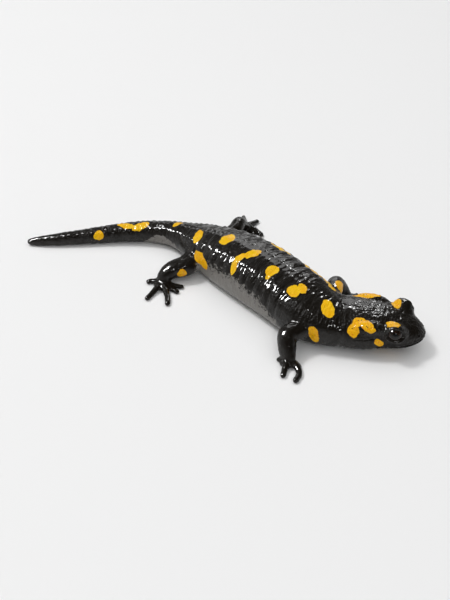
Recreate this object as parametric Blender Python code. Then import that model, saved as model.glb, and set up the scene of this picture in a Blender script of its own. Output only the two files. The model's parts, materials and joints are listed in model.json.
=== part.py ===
"""A fire salamander lying at rest, life size, as the closed solids of its named parts.

The animal faces +X with its left side at +Y. It lies on its belly, with the head turned to its left,
the tail swept to its right and the legs spread. Sizes below are millimetres, and are written to the
meshes in metres. Places along the body are distances from the tip of the snout.
"""

import math

import bmesh
import bpy
import numpy as np
from mathutils import Matrix, Vector

MM = 0.001
GAP = 0.3

# Places along the spine
EYES = 9.9
MOUTH_CORNER = 17.5
GULAR_FOLD = 29.5
NECK_END = 37.3
HIPS = 104.5
VENT = 111.8
MID_TAIL = 142.0
TOTAL_LENGTH = 178.3

# Costal grooves, the folds between the ribs on the flanks
FIRST_GROOVE = 49.0
GROOVE_STEP = 4.3
GROOVE_COUNT = 12
GROOVE_DEPTH = 0.55

# Mouth: depth of its line, and angle from it to the edge of a lip
MOUTH_DEPTH = 0.6
LIP_ANGLE = 5.0
MOUTH_ANGLE = 0.01

# Eyes: size and place, and the way the opening between the lids faces
EYE_RADIUS = 2.9
EYE_OUT = 7.4
EYE_HEIGHT = 11.8
EYE_FORWARD_TURN = 12.0
EYE_UPWARD_TURN = 24.0
LID_THICKNESS = 0.7
OPENING_SIZE = (3.0, 2.8, 2.2)
OPENING_OUT = 2.4

# The brow behind each lid: place from the eye and half sizes
BROW_PLACE = (-0.9, -2.2, -1.5)
BROW_SIZE = (5.7, 3.9, 3.9)

# Parotoid glands: distance, place to the side, height, turn and half sizes
GLAND_PLACE = 20.0
GLAND_OUT = 7.4
GLAND_HEIGHT = 12.0
GLAND_TURN = 7.0
GLAND_SIZE = (6.6, 2.7, 2.4)

# Nostrils: radius, distance, and angle above the side
NOSTRIL_RADIUS = 0.42
NOSTRIL_PLACE = 1.7
NOSTRIL_ANGLE = 42.0

# Heading of the spine, in degrees to the animal's left of the trunk's own line
BENDS = (
    (0.0, 23.0),
    (11.0, 24.5),
    (19.0, 32.0),
    (25.0, 35.5),
    (30.5, 32.5),
    (38.8, 13.0),
    (46.8, -4.0),
    (55.8, -5.0),
    (71.8, -1.0),
    (100.8, 4.0),
    (110.8, 12.0),
    (120.8, 28.0),
    (132.8, 44.0),
    (146.8, 51.0),
    (164.8, 49.0),
    (178.3, 38.0),
)

# Outline of the body: distance, half width, top, height of the widest line, underside
PROFILE = (
    (0.0, 0.0, 8.2, 7.9, 7.5),
    (1.2, 3.6, 10.2, 7.5, 5.9),
    (3.2, 5.7, 11.6, 7.0, 4.9),
    (6.2, 7.6, 12.8, 6.7, 4.4),
    (10.0, 9.0, 13.8, 6.5, 4.1),
    (15.0, 10.2, 14.6, 6.4, 3.8),
    (20.0, 11.4, 14.8, 6.2, 3.2),
    (24.5, 11.5, 14.9, 6.5, 2.6),
    (30.0, 11.1, 14.8, 6.8, 1.7),
    (37.3, 12.2, 16.4, 7.4, 0.7),
    (44.8, 13.0, 18.2, 7.8, -0.1),
    (53.8, 13.1, 19.3, 7.9, -0.6),
    (67.8, 13.5, 19.7, 8.0, -0.8),
    (83.8, 12.9, 18.5, 7.8, -0.8),
    (95.8, 10.9, 15.8, 7.1, -0.5),
    (104.5, 8.8, 13.2, 6.4, -0.1),
    (111.8, 5.9, 11.5, 5.8, 0.1),
    (119.8, 4.7, 10.0, 5.0, 0.3),
    (131.8, 4.2, 8.4, 4.2, 0.0),
    (143.8, 3.6, 7.2, 3.5, -0.1),
    (159.8, 2.8, 5.7, 2.8, -0.1),
    (171.8, 2.0, 4.1, 2.0, -0.1),
    (176.8, 1.4, 2.8, 1.4, -0.1),
    (178.3, 0.0, 1.4, 1.3, 1.2),
)

# Squareness of the sections: distance, upper half, lower half
SQUARENESS = (
    (0.0, 2.2, 2.2),
    (11.0, 2.7, 2.6),
    (30.0, 2.4, 2.8),
    (60.0, 2.25, 2.9),
    (100.0, 2.1, 2.6),
    (125.0, 2.0, 2.0),
    (178.3, 2.0, 2.0),
)


# A digit: share of its length, height in radii, and size in radii
DIGIT_SHAPE = (
    (0.0, 1.5, 1.25),
    (0.35, 1.5, 1.06),
    (0.7, 0.78, 0.94),
    (0.93, 0.66, 0.94),
)

# Knots of the limbs, from the root inside the body to the wrist: x, y, z, half breadth, half thickness
FORELEG_RIGHT = (
    (67.0, -2.0, 7.0, 4.6, 4.0),
    (65.6, -11.5, 8.0, 4.0, 3.6),
    (64.2, -16.9, 8.2, 3.8, 3.6),
    (66.2, -19.6, 5.4, 3.6, 3.2),
    (68.8, -21.7, 2.2, 3.1, 1.8),
)
FORELEG_LEFT = (
    (66.0, 2.0, 7.0, 4.6, 4.0),
    (61.4, 12.4, 9.6, 3.5, 3.1),
    (59.4, 16.7, 9.0, 3.0, 2.8),
    (60.4, 19.1, 5.7, 2.7, 2.4),
    (62.4, 20.4, 2.2, 2.4, 1.7),
)
HINDLEG_RIGHT = (
    (6.0, -1.4, 6.0, 5.0, 4.4),
    (7.3, -12.2, 5.5, 4.7, 4.1),
    (4.8, -18.6, 5.0, 3.7, 3.5),
    (4.0, -22.3, 3.2, 3.2, 2.6),
    (4.9, -23.8, 1.8, 2.6, 1.7),
)
HINDLEG_LEFT = (
    (4.0, 1.0, 6.2, 5.0, 4.4),
    (6.8, 10.0, 5.9, 3.9, 3.5),
    (6.7, 15.4, 6.8, 3.3, 3.1),
    (5.0, 19.8, 7.4, 2.9, 2.7),
    (4.2, 23.2, 4.4, 2.4, 2.2),
    (3.6, 25.6, 1.9, 2.4, 1.7),
)

# Palms and soles: x, y, heading of the long axis, and half sizes
PALM_RIGHT = (68.8, -22.3, -30.0, (3.2, 3.0, 1.5))
PALM_LEFT = (63.2, 20.6, 10.0, (3.0, 2.6, 1.5))
SOLE_RIGHT = (4.7, -24.4, -20.0, (4.0, 3.3, 1.6))
SOLE_LEFT = (3.6, 26.0, 60.0, (3.6, 3.0, 1.5))
PALM_HEIGHT = 1.2

# Fingers and toes: heading, length, radius, and how far the tip curls round
FINGERS_RIGHT = (
    (-165.0, 3.8, 1.0, 0.0),
    (-61.0, 7.6, 1.15, 0.0),
    (13.0, 10.6, 1.2, -55.0),
    (45.0, 6.3, 1.05, -52.0),
)
FINGERS_LEFT = (
    (72.0, 4.6, 1.0, 0.0),
    (40.0, 6.0, 1.1, 0.0),
    (8.0, 7.0, 1.1, 0.0),
    (-26.0, 5.8, 1.05, 0.0),
)
TOES_RIGHT = (
    (-172.0, 6.5, 1.15, 24.0),
    (-79.0, 11.1, 1.1, 0.0),
    (-23.0, 13.3, 1.15, -12.0),
    (9.0, 8.6, 1.05, 0.0),
    (34.0, 9.2, 1.05, 0.0),
)
TOES_LEFT = (
    (142.0, 8.8, 1.0, 0.0),
    (88.0, 7.4, 1.1, 0.0),
    (19.0, 9.1, 1.1, -17.0),
    (-14.0, 6.6, 1.05, 0.0),
    (-46.0, 5.4, 1.0, 0.0),
)


def clear_scene():
    """Remove whatever the file opened with."""
    for thing in list(bpy.data.objects):
        bpy.data.objects.remove(thing, do_unlink=True)


def smooth(rows, column):
    """A smooth curve through one column of the rows, without overshoot, as a function."""
    x = np.array([row[0] for row in rows])
    y = np.array([row[column] for row in rows])
    step = np.diff(x)
    slope = np.diff(y) / step
    tangent = np.zeros(len(x))
    tangent[0] = slope[0]
    tangent[-1] = slope[-1]
    for i in range(1, len(x) - 1):
        if slope[i - 1] * slope[i] > 0:
            before = 2 * step[i] + step[i - 1]
            after = step[i] + 2 * step[i - 1]
            tangent[i] = (before + after) / (before / slope[i - 1] + after / slope[i])

    def value(at):
        i = int(np.clip(np.searchsorted(x, at) - 1, 0, len(step) - 1))
        t = (at - x[i]) / step[i]
        start = (1 + 2 * t) * (1 - t) ** 2 * y[i] + t * (1 - t) ** 2 * step[i] * tangent[i]
        end = t * t * (3 - 2 * t) * y[i + 1] + t * t * (t - 1) * step[i] * tangent[i + 1]
        return float(start + end)

    return value


def rounded(rows, column):
    """A smooth column that grows as the square root of the distance from both tips."""
    length = rows[-1][0]

    def spread(d):
        return math.acos(1 - 2 * min(max(d / length, 0.0), 1.0))

    curve = smooth([(spread(row[0]), row[column]) for row in rows], 1)
    return lambda d: curve(spread(d))


half_width = rounded(PROFILE, 1)
top_height = rounded(PROFILE, 2)
side_height = rounded(PROFILE, 3)
under_height = rounded(PROFILE, 4)
upper_square = smooth(SQUARENESS, 1)
lower_square = smooth(SQUARENESS, 2)
heading_of = smooth(BENDS, 1)


def trace_spine(step=0.25):
    """The spine's x and y at every step, found by following its heading from the hips."""
    count = int(TOTAL_LENGTH / step) + 1
    places = np.arange(count) * step
    angles = np.radians([heading_of(d + step / 2) for d in places])
    x = -np.concatenate([[0.0], np.cumsum(np.cos(angles) * step)])[:-1]
    y = -np.concatenate([[0.0], np.cumsum(np.sin(angles) * step)])[:-1]
    x = x - np.interp(HIPS, places, x)
    y = y - np.interp(HIPS, places, y)
    return places, x, y


PLACES, SPINE_X, SPINE_Y = trace_spine()


def spine_at(d):
    """Centre of the body seen from above, its forward direction and its left direction."""
    heading = math.radians(heading_of(d))
    centre = Vector((np.interp(d, PLACES, SPINE_X), np.interp(d, PLACES, SPINE_Y), 0.0))
    forward = Vector((math.cos(heading), math.sin(heading), 0.0))
    left = Vector((-forward.y, forward.x, 0.0))
    return centre, forward, left


def power(value, exponent):
    """A power that keeps the sign."""
    return math.copysign(abs(value) ** exponent, value)


def groove_depth(d, angle):
    """Depth of the costal grooves: deepest on the flank, none along the back and the belly."""
    place = (d - FIRST_GROOVE) / GROOVE_STEP
    if place < -0.5 or place > GROOVE_COUNT - 0.5:
        return 0.0
    near = abs(place - round(place)) * 2
    flank = abs(math.cos(angle))
    return GROOVE_DEPTH * max(0.0, 1 - near * 1.5) * flank ** 0.8


def mouth_depth(d, angle):
    """Depth of the line of the mouth, which runs round the snout at the widest height."""
    end = MOUTH_CORNER + 1.0
    if d > end or abs(math.sin(angle)) > 0.02:
        return 0.0
    fade = min(1.0, (end - d) / 4, d / 0.6)
    return MOUTH_DEPTH * fade


def skin_point(d, angle, grow=0.0):
    """A point of the skin. Angle 0 is the left side, 90 degrees the back, 270 the belly."""
    centre, forward, left = spine_at(d)
    c = math.cos(angle)
    s = math.sin(angle)
    inset = groove_depth(d, angle) + mouth_depth(d, angle)
    wide = half_width(d) + grow - inset
    side = side_height(d)
    if s >= 0:
        exponent = 2 / upper_square(d)
        high = side + (top_height(d) + grow - side) * power(s, exponent)
    else:
        exponent = 2 / lower_square(d)
        high = side + (side - under_height(d) + grow) * power(s, exponent)
    place = centre + left * (wide * power(c, exponent))
    floor = 0.0 if grow == 0 else -grow
    return Vector((place.x, place.y, max(high, floor)))


def even_angles(count):
    """Angles round a section, starting at the left side."""
    return [2 * math.pi * k / count for k in range(count)]


def head_angles():
    """Angles round a section of the head, with close lines along the lips and the mouth."""
    lip = math.radians(LIP_ANGLE)
    mouth = math.radians(MOUTH_ANGLE)
    upper = [lip + (math.pi - 2 * lip) * k / 18 for k in range(19)]
    lower = [math.pi + lip + (math.pi - 2 * lip) * k / 12 for k in range(13)]
    return [mouth] + upper + [math.pi - mouth] + lower


def mesh_object(name, points, faces):
    """A new object from points in millimetres."""
    mesh = bpy.data.meshes.new(name)
    mesh.from_pydata([Vector(p) for p in points], [], faces)
    thing = bpy.data.objects.new(name, mesh)
    bpy.context.scene.collection.objects.link(thing)
    builder = bmesh.new()
    builder.from_mesh(mesh)
    bmesh.ops.recalc_face_normals(builder, faces=builder.faces)
    builder.to_mesh(mesh)
    builder.free()
    return thing


def loft(name, rings, start_tip=None, end_tip=None):
    """A closed skin through rings of equal count, ending in flat caps or in single tip points."""
    points = [p for ring in rings for p in ring]
    count = len(rings[0])
    faces = []
    for r in range(len(rings) - 1):
        for k in range(count):
            j = (k + 1) % count
            low = r * count
            high = low + count
            faces.append((low + k, low + j, high + j, high + k))
    last = (len(rings) - 1) * count
    for tip, first in ((start_tip, 0), (end_tip, last)):
        if tip is None:
            faces.append(tuple(first + k for k in range(count)))
        else:
            points.append(tip)
            faces += [(first + k, first + (k + 1) % count, len(points) - 1) for k in range(count)]
    return mesh_object(name, points, faces)


def body_length(name, places, angles, grow=0.0, start_tip=None, end_tip=None):
    """One length of the body, lofted through sections at the given places."""
    rings = [[skin_point(d, a, grow) for a in angles] for d in places]
    return loft(name, rings, start_tip, end_tip)


def spread_places(start, end, step):
    """Evenly spaced places from start to end, about a step apart."""
    count = max(1, round((end - start) / step))
    return [start + (end - start) * k / count for k in range(count + 1)]


def ellipsoid(name, centre, half_sizes, turn=Matrix.Identity(3), segments=16, rings=10):
    """A closed ellipsoid whose own axes are turned by a 3 by 3 matrix."""
    a, b, c = half_sizes
    points = []
    for r in range(1, rings):
        polar = math.pi * r / rings
        for k in range(segments):
            around = 2 * math.pi * k / segments
            local = Vector((
                a * math.sin(polar) * math.cos(around),
                b * math.sin(polar) * math.sin(around),
                c * math.cos(polar),
            ))
            points.append(Vector(centre) + turn @ local)
    ring_list = [points[r * segments:(r + 1) * segments] for r in range(rings - 1)]
    top = Vector(centre) + turn @ Vector((0, 0, c))
    bottom = Vector(centre) + turn @ Vector((0, 0, -c))
    return loft(name, ring_list, top, bottom)


def curve_points(knots, per_span):
    """Points on a smooth curve through the knots, each knot being a place and its radii."""
    rows = [tuple(k) for k in knots]
    length = [0.0]
    for before, after in zip(rows, rows[1:]):
        length.append(length[-1] + (Vector(after[:3]) - Vector(before[:3])).length)
    table = [(at,) + row for at, row in zip(length, rows)]
    curves = [smooth(table, column) for column in range(1, len(table[0]))]
    places = []
    for i in range(len(length) - 1):
        places += [length[i] + (length[i + 1] - length[i]) * k / per_span for k in range(per_span)]
    places.append(length[-1])
    return [tuple(curve(at) for curve in curves) for at in places]


def limb_tube(name, knots, hint, sides=12, per_span=2, round_end=True):
    """A tapering limb through knots of x, y, z, half breadth and half thickness.

    The breadth of each section lies along the hint direction.
    """
    rows = curve_points(knots, per_span)
    centres = [Vector(row[:3]) for row in rows]
    rings = []
    along = []
    for i, row in enumerate(rows):
        ahead = centres[min(i + 1, len(rows) - 1)] - centres[max(i - 1, 0)]
        along.append(ahead.normalized())
        broad = (hint - along[i] * hint.dot(along[i])).normalized()
        thick = along[i].cross(broad)
        ring = []
        for k in range(sides):
            a = 2 * math.pi * (k + 0.5) / sides
            ring.append(centres[i] + broad * (row[3] * math.cos(a)) + thick * (row[4] * math.sin(a)))
        rings.append(ring)
    tip = None
    if round_end:
        tip = centres[-1] + along[-1] * rows[-1][4] * 0.6
    return loft(name, rings, None, tip)


def boolean(target, operation, others, solver="EXACT"):
    """Join the others to the target, or cut them away, and remove them."""
    group = bpy.data.collections.new("boolean")
    bpy.context.scene.collection.children.link(group)
    for other in others:
        group.objects.link(other)
        bpy.context.scene.collection.objects.unlink(other)
        other.hide_render = True
        other.display_type = "WIRE"
    step = target.modifiers.new("boolean", "BOOLEAN")
    step.operation = operation
    step.operand_type = "COLLECTION"
    step.collection = group
    step.solver = solver
    bpy.context.view_layer.update()
    shape = target.evaluated_get(bpy.context.evaluated_depsgraph_get())
    mesh = bpy.data.meshes.new_from_object(shape)
    target.modifiers.clear()
    target.data = mesh
    for other in others:
        bpy.data.objects.remove(other, do_unlink=True)
    bpy.data.collections.remove(group)
    return target


def keep_largest(thing):
    """Keep the largest closed surface of an object, with its normals out."""
    builder = bmesh.new()
    builder.from_mesh(thing.data)
    bmesh.ops.remove_doubles(builder, verts=builder.verts, dist=1e-4)
    bmesh.ops.triangulate(builder, faces=builder.faces)
    builder.faces.ensure_lookup_table()
    seen = set()
    shells = []
    for face in builder.faces:
        if face in seen:
            continue
        shell = []
        queue = [face]
        seen.add(face)
        while queue:
            current = queue.pop()
            shell.append(current)
            for edge in current.edges:
                for neighbour in edge.link_faces:
                    if neighbour not in seen:
                        seen.add(neighbour)
                        queue.append(neighbour)
        shells.append(shell)
    largest = max(shells, key=len)
    scrap = [face for shell in shells if shell is not largest for face in shell]
    bmesh.ops.delete(builder, geom=scrap, context="FACES")
    loose = [v for v in builder.verts if not v.link_faces]
    bmesh.ops.delete(builder, geom=loose, context="VERTS")
    builder.to_mesh(thing.data)
    builder.free()
    return thing


def floor_block():
    """A block under the floor, which cuts the soles and fingers flat."""
    size = 200.0
    depth = 20.0
    corners = [(x, y, z) for z in (-depth, 0.0) for x, y in ((-1, -1), (1, -1), (1, 1), (-1, 1))]
    points = [(x * size, y * size, z) for x, y, z in corners]
    faces = [(0, 1, 2, 3), (4, 5, 6, 7), (0, 1, 5, 4), (1, 2, 6, 5), (2, 3, 7, 6), (3, 0, 4, 7)]
    return mesh_object("floor_block", points, faces)


def axes_at(d):
    """Axes of the body at a distance: forward, left and up as the columns of a matrix."""
    centre, forward, left = spine_at(d)
    return centre, Matrix((forward, left, Vector((0, 0, 1)))).transposed()


def eye_frame(side):
    """Centre of an eyeball and the axes of the head. Side is 1 for the left, -1 for the right."""
    centre, axes = axes_at(EYES)
    return centre + axes @ Vector((0, side * EYE_OUT, EYE_HEIGHT)), axes


def make_lid(side):
    """The lids of one eye, as one dome round the eyeball."""
    centre, axes = eye_frame(side)
    lid = EYE_RADIUS + LID_THICKNESS
    return ellipsoid("lid", centre, (lid * 1.12, lid, lid), axes, 20, 12)


def make_brow(side):
    """The swelling that joins a lid to the skull."""
    centre, axes = eye_frame(side)
    ahead, out, up = BROW_PLACE
    return ellipsoid("brow", centre + axes @ Vector((ahead, side * out, up)), BROW_SIZE, axes, 20, 12)


def make_gland(side):
    """The parotoid gland behind one eye."""
    centre, axes = axes_at(GLAND_PLACE)
    turn = axes @ Matrix.Rotation(math.radians(-side * GLAND_TURN), 3, "Z")
    return ellipsoid("gland", centre + axes @ Vector((0, side * GLAND_OUT, GLAND_HEIGHT)), GLAND_SIZE, turn)


def lid_opening(side):
    """What is cut from the lids to show the eyeball."""
    centre, axes = eye_frame(side)
    look = axes @ Matrix.Rotation(math.radians(-side * EYE_FORWARD_TURN), 3, "Z")
    look = look @ Matrix.Rotation(math.radians(side * EYE_UPWARD_TURN), 3, "X")
    return ellipsoid("opening", centre + look @ Vector((0, side * OPENING_OUT, 0)), OPENING_SIZE, look, 16, 8)


def nostril(side):
    """What is cut from the snout for one nostril."""
    angle = NOSTRIL_ANGLE if side > 0 else 180.0 - NOSTRIL_ANGLE
    place = skin_point(NOSTRIL_PLACE, math.radians(angle))
    return ellipsoid("nostril", place, (NOSTRIL_RADIUS,) * 3, axes_at(NOSTRIL_PLACE)[1], 8, 6)


def make_head():
    """The head: skull and jaws, lids, parotoid glands, mouth, nostrils and eye sockets."""
    snout_steps = 9
    places = [EYES * (k / snout_steps) ** 1.8 for k in range(1, snout_steps)]
    places += spread_places(EYES, GULAR_FOLD - GAP / 2, 1.9)
    tip = skin_point(0, math.pi / 2)
    head = body_length("head", places, head_angles(), start_tip=tip)
    pieces = []
    sockets = []
    openings = []
    for side in (1, -1):
        pieces += [make_lid(side), make_brow(side), make_gland(side)]
        centre, axes = eye_frame(side)
        sockets.append(ellipsoid("socket", centre, (EYE_RADIUS + GAP,) * 3, axes, 18, 12))
        openings += [lid_opening(side), nostril(side)]
    boolean(head, "UNION", pieces)
    boolean(head, "DIFFERENCE", sockets)
    boolean(head, "DIFFERENCE", openings)
    return keep_largest(head)


def make_eye(name, side):
    """One eyeball."""
    centre, axes = eye_frame(side)
    return ellipsoid(name, centre, (EYE_RADIUS,) * 3, axes @ Matrix.Rotation(math.pi / 2, 3, "X"))


def whole_body(grow):
    """The body from head to tail a little larger than it is, to cut the legs' roots with."""
    places = spread_places(12.0, 150.0, 2.0)
    return body_length("whole_body", places, even_angles(32), grow)


def digit(name, start, heading, length, radius, curl=0.0):
    """One finger or toe on the floor, with a slight swelling at its tip."""
    knots = []
    for share, height, size in DIGIT_SHAPE:
        turn = math.radians(heading + curl * share * share)
        place = Vector(start) + Vector((math.cos(turn), math.sin(turn), 0)) * (length * share)
        knots.append((place.x, place.y, height * radius, radius * size, radius * size * 0.9))
    across = math.radians(heading + 90)
    return limb_tube(name, knots, Vector((math.cos(across), math.sin(across), 0)), 8, 2)


def make_leg(name, knots, palm, digits):
    """One leg: a bent limb, its palm or sole, and its digits, cut by the body and the floor."""
    leg = limb_tube(name, knots, Vector((1, 0, 0.25)).normalized())
    x, y, heading, half_sizes = palm
    turn = Matrix.Rotation(math.radians(heading), 3, "Z")
    pieces = [ellipsoid("palm", (x, y, PALM_HEIGHT), half_sizes, turn, 14, 8)]
    for digit_heading, length, radius, curl in digits:
        pieces.append(digit("digit", (x, y, 0), digit_heading, length, radius, curl))
    boolean(leg, "UNION", pieces, "MANIFOLD")
    boolean(leg, "DIFFERENCE", [whole_body(GAP), floor_block()], "MANIFOLD")
    return keep_largest(leg)


def make_torso():
    """The trunk, from the neck to the vent, with a section at every fold of the flanks."""
    step = GROOVE_STEP / 3
    last_groove = FIRST_GROOVE + GROOVE_STEP * (GROOVE_COUNT - 1)
    places = spread_places(NECK_END + GAP / 2, FIRST_GROOVE - step, 2.0)
    places += spread_places(FIRST_GROOVE, last_groove, step)
    places += spread_places(last_groove + step, VENT - GAP / 2, 2.0)
    return body_length("torso", places, even_angles(28))


def make_tail_tip():
    """The last length of the tail, drawn out to a point."""
    places = spread_places(MID_TAIL + GAP / 2, 175.0, 2.6) + [176.7, 177.8]
    return body_length("tail_tip", places, even_angles(16), end_tip=skin_point(TOTAL_LENGTH, 0.0))


def principled(name, colour, roughness):
    """A plain skin material."""
    material = bpy.data.materials.new(name)
    material.use_nodes = True
    shader = material.node_tree.nodes["Principled BSDF"]
    shader.inputs["Base Color"].default_value = (*colour, 1.0)
    shader.inputs["Roughness"].default_value = roughness
    shader.inputs["Metallic"].default_value = 0.0
    return material


def finish(thing, material):
    """Give an object its material and shade it smooth."""
    thing.data.materials.clear()
    thing.data.materials.append(material)
    thing.data.shade_smooth()
    thing.data.set_sharp_from_angle(angle=math.radians(50))


def centre_on_floor(things):
    """Scale the millimetres to metres, with the middle of the whole animal's box at the origin."""
    points = np.array([v.co for thing in things for v in thing.data.vertices])
    low = points.min(axis=0)
    high = points.max(axis=0)
    shift = Vector((-(low[0] + high[0]) / 2, -(low[1] + high[1]) / 2, 0.0))
    for thing in things:
        thing.data.transform(Matrix.Scale(MM, 4) @ Matrix.Translation(shift))
    return shift


clear_scene()
head = make_head()
eye_left = make_eye("eye_left", 1)
eye_right = make_eye("eye_right", -1)
neck = body_length("neck", spread_places(GULAR_FOLD + GAP / 2, NECK_END - GAP / 2, 1.8), even_angles(28))
torso = make_torso()
tail_base = body_length("tail_base", spread_places(VENT + GAP / 2, MID_TAIL - GAP / 2, 2.4), even_angles(20))
tail_tip = make_tail_tip()
foreleg_right = make_leg("foreleg_right", FORELEG_RIGHT, PALM_RIGHT, FINGERS_RIGHT)
foreleg_left = make_leg("foreleg_left", FORELEG_LEFT, PALM_LEFT, FINGERS_LEFT)
hindleg_right = make_leg("hindleg_right", HINDLEG_RIGHT, SOLE_RIGHT, TOES_RIGHT)
hindleg_left = make_leg("hindleg_left", HINDLEG_LEFT, SOLE_LEFT, TOES_LEFT)

skin = principled("black_skin", (0.012, 0.011, 0.012), 0.28)
cornea = principled("dark_eye", (0.01, 0.008, 0.008), 0.08)
legs = [foreleg_right, foreleg_left, hindleg_right, hindleg_left]
skin_parts = [head, neck, torso, tail_base, tail_tip] + legs
for thing in skin_parts:
    finish(thing, skin)
for thing in (eye_left, eye_right):
    finish(thing, cornea)
OFFSET = centre_on_floor(skin_parts + [eye_left, eye_right])
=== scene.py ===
# %% [markdown]
# # A fire salamander, life size
# This lesson dresses the stiff solids of a fire salamander as a museum would: one living skin over
# head, trunk, tail and legs, two wet eyes, golden blotches on glossy black, a pale floor, soft light.
# Sizes are in millimetres, in which lips and toes are easier to think about, and become metres later.

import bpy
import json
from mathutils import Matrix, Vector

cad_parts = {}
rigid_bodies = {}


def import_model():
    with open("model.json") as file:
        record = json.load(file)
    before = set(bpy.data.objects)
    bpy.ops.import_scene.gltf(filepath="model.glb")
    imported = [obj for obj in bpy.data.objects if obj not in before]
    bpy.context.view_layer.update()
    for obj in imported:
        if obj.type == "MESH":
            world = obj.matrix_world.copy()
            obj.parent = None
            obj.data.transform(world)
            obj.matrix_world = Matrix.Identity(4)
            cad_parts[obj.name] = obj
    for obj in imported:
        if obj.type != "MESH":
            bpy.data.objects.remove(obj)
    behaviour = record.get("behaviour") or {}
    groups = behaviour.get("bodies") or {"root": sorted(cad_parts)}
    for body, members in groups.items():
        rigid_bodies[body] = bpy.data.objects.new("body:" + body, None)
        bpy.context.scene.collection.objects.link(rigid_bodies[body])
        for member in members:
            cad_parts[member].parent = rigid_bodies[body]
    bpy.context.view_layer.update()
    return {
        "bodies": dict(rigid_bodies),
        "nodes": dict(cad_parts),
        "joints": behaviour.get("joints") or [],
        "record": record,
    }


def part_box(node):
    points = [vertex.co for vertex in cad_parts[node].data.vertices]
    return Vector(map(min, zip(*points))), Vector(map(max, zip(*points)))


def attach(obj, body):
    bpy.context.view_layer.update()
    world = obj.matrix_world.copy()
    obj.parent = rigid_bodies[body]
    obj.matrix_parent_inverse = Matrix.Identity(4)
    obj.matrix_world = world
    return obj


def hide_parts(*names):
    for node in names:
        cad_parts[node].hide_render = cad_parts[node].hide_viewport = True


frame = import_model()
print("solids:", sorted(frame["nodes"]))

# %% Tools and units
import json
import math
import random

import bmesh
import bpy
import numpy as np
from mathutils import Matrix, Vector, noise

MM = 0.001
UP = Vector((0.0, 0.0, 1.0))
scene = bpy.context.scene


def turned(degrees, axis):
    """A turn about the X, Y or Z axis."""
    return Matrix.Rotation(math.radians(degrees), 3, axis)


def new_object(name, data):
    """An object in the scene."""
    thing = bpy.data.objects.new(name, data)
    scene.collection.objects.link(thing)
    return thing


print("one unit of the tables below is", MM, "m")

# %% [markdown]
# ## The line of the spine
# A salamander is one long bent tube, so its shape is told best along its spine. The heading of the
# spine is given at a few distances from the snout, and following it step by step draws the bend.
# A curve object would do as well, but a traced line lets every later step ask where it is on the body.

# %% Places along the spine
EYES = 9.9
MOUTH_CORNER = 17.5
GULAR_FOLD = 29.5
HIPS = 104.5
VENT = 111.8
TOTAL_LENGTH = 178.3

BENDS = (
    (0, 23),
    (11, 24.5),
    (19, 32),
    (25, 35.5),
    (30.5, 32.5),
    (38.8, 13),
    (46.8, -4),
    (55.8, -5),
    (71.8, -1),
    (100.8, 4),
    (110.8, 12),
    (120.8, 28),
    (132.8, 44),
    (146.8, 51),
    (164.8, 49),
    (178.3, 38),
)

# Distance, half width, top, height of the widest line, underside
PROFILE = (
    (0, 0, 8.2, 7.9, 7.5),
    (1.2, 3.6, 10.2, 7.5, 5.9),
    (3.2, 5.7, 11.6, 7, 4.9),
    (6.2, 7.6, 12.8, 6.7, 4.4),
    (10, 9, 13.8, 6.5, 4.1),
    (15, 10.2, 14.6, 6.4, 3.8),
    (20, 11.4, 14.8, 6.2, 3.2),
    (24.5, 11.5, 14.9, 6.5, 2.6),
    (30, 11.1, 14.8, 6.8, 1.7),
    (37.3, 12.2, 16.4, 7.4, 0.7),
    (44.8, 13, 18.2, 7.8, -0.1),
    (53.8, 13.1, 19.3, 7.9, -0.6),
    (67.8, 13.5, 19.7, 8, -0.8),
    (83.8, 12.9, 18.5, 7.8, -0.8),
    (95.8, 10.9, 15.8, 7.1, -0.5),
    (104.5, 8.8, 13.2, 6.4, -0.1),
    (111.8, 5.9, 11.5, 5.8, 0.1),
    (119.8, 4.7, 10, 5, 0.3),
    (131.8, 4.2, 8.4, 4.2, 0),
    (143.8, 3.6, 7.2, 3.5, -0.1),
    (159.8, 2.8, 5.7, 2.8, -0.1),
    (171.8, 2, 4.1, 2, -0.1),
    (176.8, 1.4, 2.8, 1.4, -0.1),
    (178.3, 0, 1.4, 1.3, 1.2),
)

# Distance, squareness of the upper half and of the lower half of a section
SQUARENESS = (
    (0, 2.2, 2.2),
    (11, 2.7, 2.6),
    (30, 2.4, 2.8),
    (60, 2.25, 2.9),
    (100, 2.1, 2.6),
    (125, 2, 2),
    (178.3, 2, 2),
)
print("the body is told by", len(PROFILE), "sections")


# %% Smooth curves through a table's columns
def smooth(rows, column):
    """A smooth curve through one column of the rows, without overshoot, for numbers or arrays."""
    x = np.array([row[0] for row in rows])
    y = np.array([row[column] for row in rows])
    step = np.diff(x)
    slope = np.diff(y) / step
    tangent = np.zeros(len(x))
    tangent[0] = slope[0]
    tangent[-1] = slope[-1]
    for i in range(1, len(x) - 1):
        if slope[i - 1] * slope[i] > 0:
            before = 2 * step[i] + step[i - 1]
            after = step[i] + 2 * step[i - 1]
            tangent[i] = (before + after) / (before / slope[i - 1] + after / slope[i])

    def value(at):
        i = np.clip(np.searchsorted(x, at) - 1, 0, len(step) - 1)
        t = (at - x[i]) / step[i]
        start = (1 + 2 * t) * (1 - t) ** 2 * y[i] + t * (1 - t) ** 2 * step[i] * tangent[i]
        end = t * t * (3 - 2 * t) * y[i + 1] + t * t * (t - 1) * step[i] * tangent[i + 1]
        return start + end

    return value


def rounded(rows, column):
    """A smooth column that grows as the square root of the distance from both tips."""
    length = rows[-1][0]

    def spread(d):
        return np.arccos(1 - 2 * np.clip(np.asarray(d) / length, 0.0, 1.0))

    curve = smooth([(float(spread(row[0])), row[column]) for row in rows], 1)
    return lambda d: curve(spread(d))


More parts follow.
